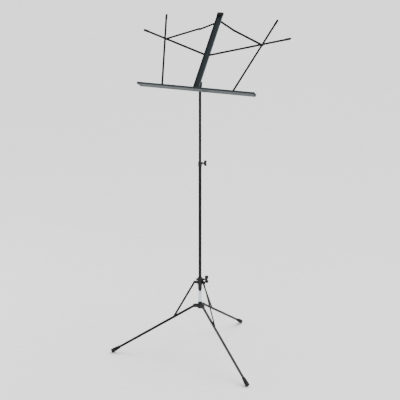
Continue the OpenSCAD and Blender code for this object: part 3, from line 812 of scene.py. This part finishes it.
class STAND_OT_rubber_feet(bpy.types.Operator):
    """Mould a ribbed rubber foot on the end of each leg"""

    bl_idname = "stand.rubber_feet"
    bl_label = "Rubber Feet"

    def execute(self, context):
        sizes = context.scene.stand_sizes
        for leg in LEGS:
            node = f"{leg}_foot"
            pivot, along, tangent = leg_line(leg)
            start, end = reach(node, pivot, along)
            wide = girth(node, pivot, along)
            clear = 0.05 * MM
            profile = boot_profile(start, end, BOOT_MOUTH_SHARE * wide, wide - clear,
                                   sizes.boot_ribs, sizes.rib_height)

            def make(shape):
                lathe(shape, profile)

            foot = new_piece(f"rubber_{node}", make, material_for("rubber"),
                             axis_frame(pivot, along, tangent))
            for vertex in foot.data.vertices:
                vertex.co.z = max(vertex.co.z, 0.0)
            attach(foot, f"{leg}_leg")
            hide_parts(node)
        return {"FINISHED"}


def wing_outline(half_span, lobe, steps=72):
    """A butterfly outline about the origin: two lobes across y, a waist along x."""
    focus = half_span * WING_FOCUS
    size = math.sqrt(half_span ** 2 - focus ** 2)
    points = []
    for i in range(steps):
        turn = math.tau * i / steps
        inner = math.sqrt(max(0.0, size ** 4 - (focus ** 2 * math.sin(2 * turn)) ** 2))
        radius = math.sqrt(max(0.0, focus ** 2 * math.cos(2 * turn) + inner))
        points.append((radius * math.sin(turn) * lobe, radius * math.cos(turn)))
    return points


def wing_shape(shape, centre, half_span, lobe, thickness):
    """The wing plate: rounded rim, dished faces that thicken to the rim."""
    outline = wing_outline(half_span, lobe)
    faces = []
    for side in (1, -1):
        half = side * thickness / 2
        rings = [[shape.verts.new((centre + x * share, y * share, half * swell)) for x, y in outline]
                 for share, swell in WING_LAYERS]
        middle = shape.verts.new((centre, 0, half * WING_WAIST))
        for i, point in enumerate(rings[0]):
            shape.faces.new((middle, point, rings[0][(i + 1) % len(outline)]))
        skin(shape, rings, "open")
        faces.append(rings)
    fronts, backs = faces
    skin(shape, [fronts[-1], backs[-1]], "open")


def shank_profile(tip, end):
    """A screw's shank with a chamfered tip."""
    return [(tip, SHANK_RADIUS * 0.6), (tip + 0.8 * MM, SHANK_RADIUS), (end, SHANK_RADIUS)]


class STAND_OT_thumb_screws(bpy.types.Operator):
    """Mould the butterfly thumb screws of the slider and the mast clamp"""

    bl_idname = "stand.thumb_screws"
    bl_label = "Thumb Screws"

    def execute(self, context):
        sizes = context.scene.stand_sizes
        for node, joint_name in WING_SCREWS.items():
            joint = JOINTS[joint_name]
            centre, along = Vector(joint["pos_m"]), Vector(joint["axis"])
            tip, end = reach(node, centre, along)
            half_span = girth(node, centre, along)
            hub_end = end - 2 * LOBE_HALF
            profile = shank_profile(tip, hub_end - COLLAR_START)
            profile += [(hub_end + at * MM, COLLAR_RADIUS * share) for at, share in COLLAR_SHAPE]
            profile += [(end + at * MM, COLLAR_RADIUS * share) for at, share in CORE_END]
            place = axis_frame(centre, along, Vector((0, 0, 1)))

            def make(shape):
                lathe(shape, profile, steps=40)
                wing_shape(shape, end - LOBE_HALF, half_span, WING_LOBE, sizes.wing_thickness)

            screw = new_piece(f"moulded_{node}", make, material_for("plastic"), place)
            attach(screw, joint["child"])
            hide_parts(node)
        return {"FINISHED"}


class STAND_OT_socket_screw(bpy.types.Operator):
    """Mould the knurled thumb screw that holds the desk on the mast"""

    bl_idname = "stand.socket_screw"
    bl_label = "Socket Screw"

    def execute(self, context):
        sizes = context.scene.stand_sizes
        node = "socket_screw"
        joint = JOINTS["socket_screw_turn"]
        centre, along = Vector(joint["pos_m"]), Vector(joint["axis"])
        tip, end = reach(node, centre, along)
        head = girth(node, centre, along)
        head_start, body = end - KNURLED_HEAD, head - KNURL_DEPTH
        knurled = (head_start + 0.5 * MM, end - 0.8 * MM)
        profile = shank_profile(tip, head_start)
        profile += [(head_start + 0.05 * MM, head * 0.84), (head_start + 0.9 * MM, body)]
        profile.append((end - 1.2 * MM, body))
        profile += [(end + at * MM, head * share) for at, share in HEAD_FACE]

        def make(shape):
            lathe(shape, profile, steps=4 * sizes.knurls)
            for vertex in shape.verts:
                radius = math.hypot(vertex.co.y, vertex.co.z)
                if radius < head * 0.8 or not knurled[0] < vertex.co.x < knurled[1]:
                    continue
                turn = math.atan2(vertex.co.z, vertex.co.y)
                lift = 1 + KNURL_DEPTH * max(0.0, math.cos(turn * sizes.knurls)) / radius
                vertex.co.y *= lift
                vertex.co.z *= lift

        screw = new_piece("knurled_socket_screw", make, material_for("plastic"),
                          axis_frame(centre, along, Vector((0, 0, 1))))
        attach(screw, joint["child"])
        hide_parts(node)
        return {"FINISHED"}


class STAND_OT_spine_cap(bpy.types.Operator):
    """Mould the crowned cap on top of the spine"""

    bl_idname = "stand.spine_cap"
    bl_label = "Spine Cap"

    def execute(self, context):
        sizes = context.scene.stand_sizes
        node = "spine_cap"
        origin, along_ledge, up_spine, facing = desk_axes()
        left, right = reach(node, origin, along_ledge)
        low, high = reach(node, origin, up_spine)
        back, front = reach(node, origin, facing)

        def make(shape):
            block_shape(shape, (low, high), (left, right), (back, front), sizes.cap_corner)

        cap = new_piece("moulded_spine_cap", make, material_for("plastic"),
                        axis_frame(origin, up_spine, -along_ledge))
        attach(cap, "desk")
        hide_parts(node)
        return {"FINISHED"}


# ---- stage ------------------------------------------------------------------------------------------

def area_light(name, place, aim, power):
    """A soft upright lamp that faces the aim point."""
    light = bpy.data.lights.new(name, "AREA")
    light.shape = "RECTANGLE"
    light.size, light.size_y = LAMP_SIZE
    light.energy = power
    lamp = bpy.data.objects.new(name, light)
    lamp.location = place
    lamp.rotation_euler = (aim - place).to_track_quat("-Z", "Y").to_euler()
    bpy.context.scene.collection.objects.link(lamp)


def studio_world():
    """Even white surroundings, which the camera sees as bright as the floor."""
    world = bpy.data.worlds.new("Studio")
    world.use_nodes = True
    tree = world.node_tree
    fill, backdrop = tree.nodes["Background"], tree.nodes.new("ShaderNodeBackground")
    for node, strength in ((fill, WORLD_FILL), (backdrop, WORLD_BACKDROP)):
        node.inputs["Color"].default_value = (1.0, 1.0, 1.0, 1.0)
        node.inputs["Strength"].default_value = strength
    seen = tree.nodes.new("ShaderNodeLightPath")
    either = tree.nodes.new("ShaderNodeMixShader")
    tree.links.new(seen.outputs["Is Camera Ray"], either.inputs[0])
    tree.links.new(fill.outputs[0], either.inputs[1])
    tree.links.new(backdrop.outputs[0], either.inputs[2])
    tree.links.new(either.outputs[0], tree.nodes["World Output"].inputs["Surface"])
    return world


class STAND_OT_stage(bpy.types.Operator):
    """Lay the pale floor, hang the soft lights and set the camera"""

    bl_idname = "stand.stage"
    bl_label = "Stage"

    def execute(self, context):
        scene = context.scene
        sizes = scene.stand_sizes

        def sheet(shape):
            bmesh.ops.create_grid(shape, x_segments=4, y_segments=4, size=FLOOR_HALF)

        floor = new_piece("studio_floor", sheet, material_for("floor"))
        floor.location.z = -FLOOR_DROP

        scene.world = studio_world()

        mast = Vector(JOINTS["desk_swivel"]["pos_m"])
        aim = Vector((mast.x, mast.y, sizes.camera_aim))
        sky = bpy.data.lights.new("soft_sky", "SUN")
        sky.energy = SKY_STRENGTH
        sky.angle = SKY_ANGLE
        lamp = bpy.data.objects.new("soft_sky", sky)
        lamp.rotation_euler = SKY_TURN
        scene.collection.objects.link(lamp)
        for name, (offset, power) in LAMPS.items():
            area_light(name, aim + Vector(offset), aim, power)

        camera = bpy.data.cameras.new("camera")
        camera.sensor_width = SENSOR_WIDTH
        camera.lens = sizes.camera_lens
        camera.clip_start, camera.clip_end = CLIP_RANGE
        viewer = bpy.data.objects.new("camera", camera)
        azimuth, height = sizes.camera_azimuth, sizes.camera_height
        level = math.cos(height)
        back = Vector((math.sin(azimuth) * level, -math.cos(azimuth) * level, math.sin(height)))
        viewer.location = aim + back * sizes.camera_distance
        viewer.rotation_euler = (-back).to_track_quat("-Z", "Y").to_euler()
        scene.collection.objects.link(viewer)
        scene.camera = viewer
        return {"FINISHED"}


# ---- panel and run ----------------------------------------------------------------------------------

OPERATORS = (
    STAND_OT_tubes_and_strips,
    STAND_OT_spine_and_ledge,
    STAND_OT_moulded_parts,
    STAND_OT_rivets,
    STAND_OT_bright_sleeve,
    STAND_OT_soft_tips,
    STAND_OT_rubber_feet,
    STAND_OT_thumb_screws,
    STAND_OT_socket_screw,
    STAND_OT_spine_cap,
    STAND_OT_stage,
)


class STAND_PT_panel(bpy.types.Panel):
    """Lists the steps that finish the stand"""

    bl_label = "Music Stand"
    bl_idname = "STAND_PT_panel"
    bl_space_type = "VIEW_3D"
    bl_region_type = "UI"
    bl_category = "Music Stand"

    def draw(self, context):
        for operator in OPERATORS:
            self.layout.operator(operator.bl_idname)
        for settings in (context.scene.stand_sizes, context.scene.stand_colours):
            for name in settings.__annotations__:
                self.layout.prop(settings, name)


CLASSES = (StandSizes, StandColours, *OPERATORS, STAND_PT_panel)


def register():
    for cls in CLASSES:
        bpy.utils.register_class(cls)
    bpy.types.Scene.stand_sizes = PointerProperty(type=StandSizes)
    bpy.types.Scene.stand_colours = PointerProperty(type=StandColours)


def unregister():
    del bpy.types.Scene.stand_colours
    del bpy.types.Scene.stand_sizes
    for cls in reversed(CLASSES):
        bpy.utils.unregister_class(cls)


def main():
    register()
    for operator in OPERATORS:
        group, name = operator.bl_idname.split(".")
        getattr(getattr(bpy.ops, group), name)()


if __name__ == "__main__":
    main()
